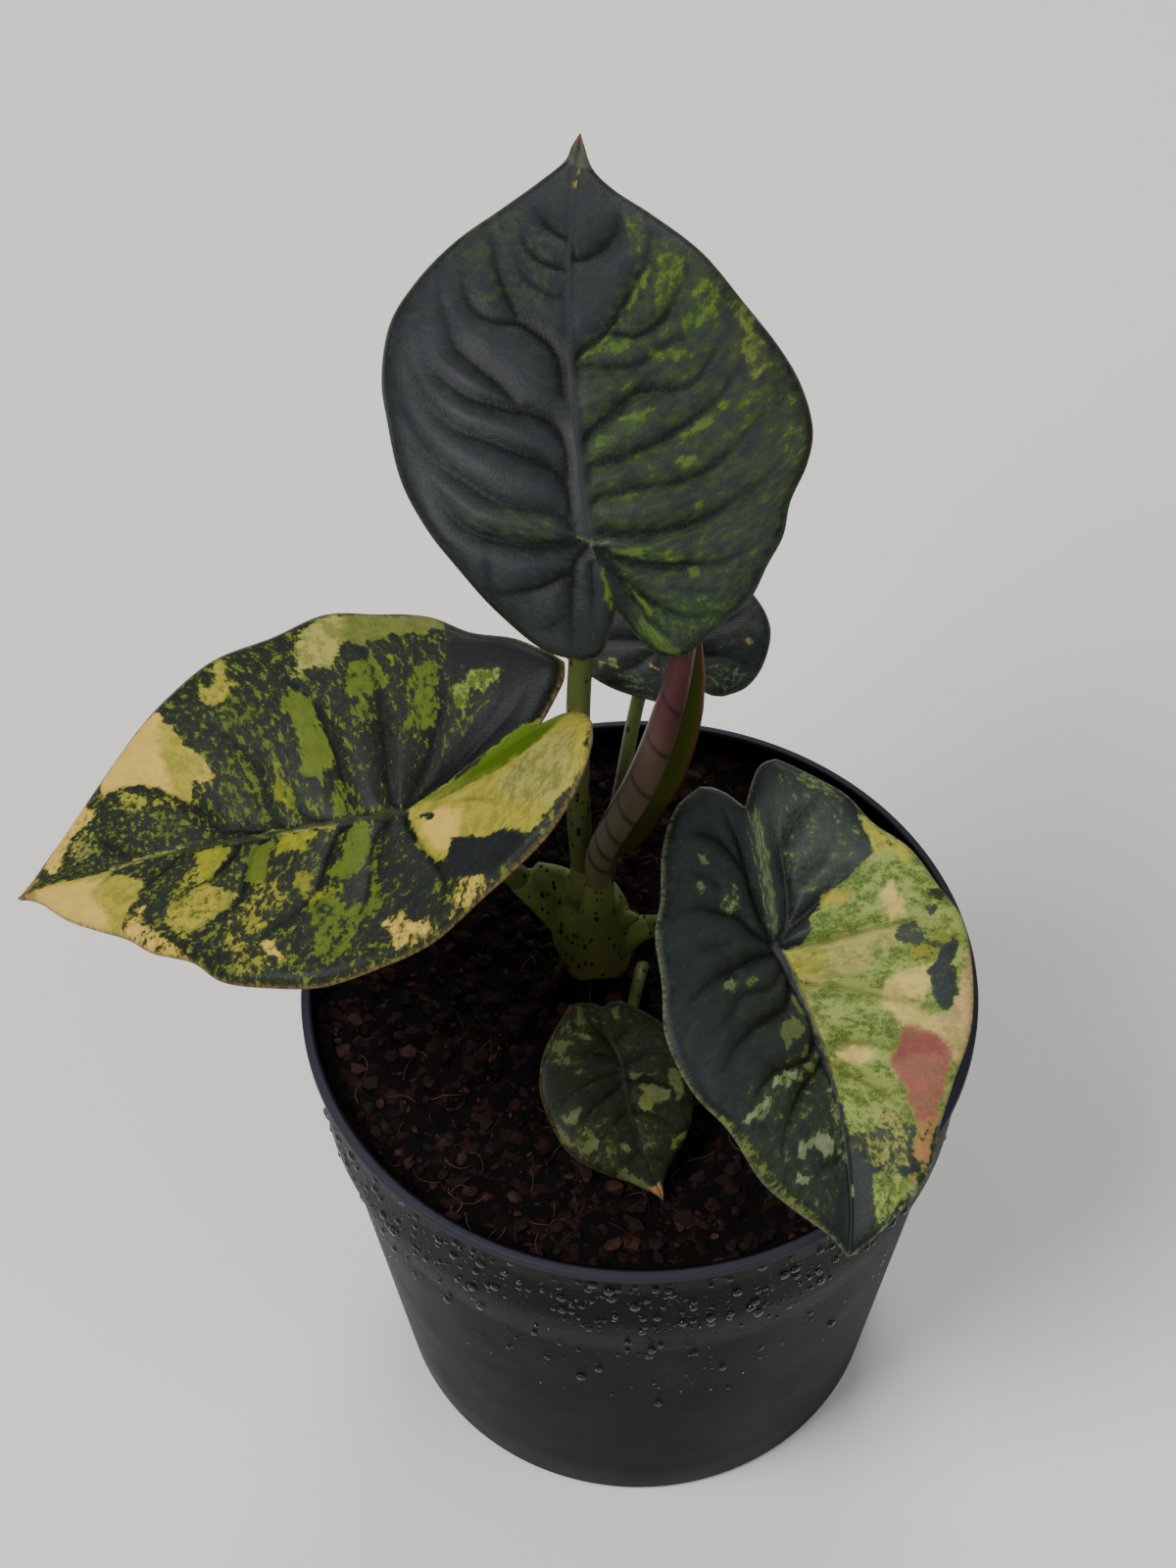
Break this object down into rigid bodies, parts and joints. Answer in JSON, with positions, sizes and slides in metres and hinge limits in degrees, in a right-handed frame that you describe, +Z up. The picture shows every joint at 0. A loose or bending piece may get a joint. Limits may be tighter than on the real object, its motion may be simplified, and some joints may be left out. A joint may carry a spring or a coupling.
{
  "type": "potted alocasia nebula aurea",
  "caption": "Variegated aroid with heart-shaped leaves on slender petioles and a new rolled leaf, growing in potting mix in a round black nursery pot.",
  "frame": {"origin": "middle of the pot's flat underside", "axes": "+Z up, -Y towards the side that the picture is taken from, +X to the right seen from there"},
  "size_m": [0.2075, 0.1645, 0.2969],
  "materials": {
    "pot_plastic": "satin",
    "potting_mix": "matte",
    "stem": "satin",
    "petiole": "satin",
    "rolled_leaf": "satin",
    "blade_dark": "satin",
    "blade_marbled": "satin",
    "blade_half_cream": "satin"
  },
  "bodies": {
    "root": {"pot": "pot_plastic", "potting_mix": "potting_mix", "stem": "stem", "rolled_leaf": "rolled_leaf", "petiole_crown": "petiole", "blade_crown": "blade_dark", "petiole_left": "petiole", "blade_left": "blade_marbled", "petiole_right": "petiole", "blade_right": "blade_half_cream", "petiole_front": "petiole", "blade_front": "blade_dark", "petiole_back": "petiole", "blade_back": "blade_dark"}
  },
  "joints": []
}
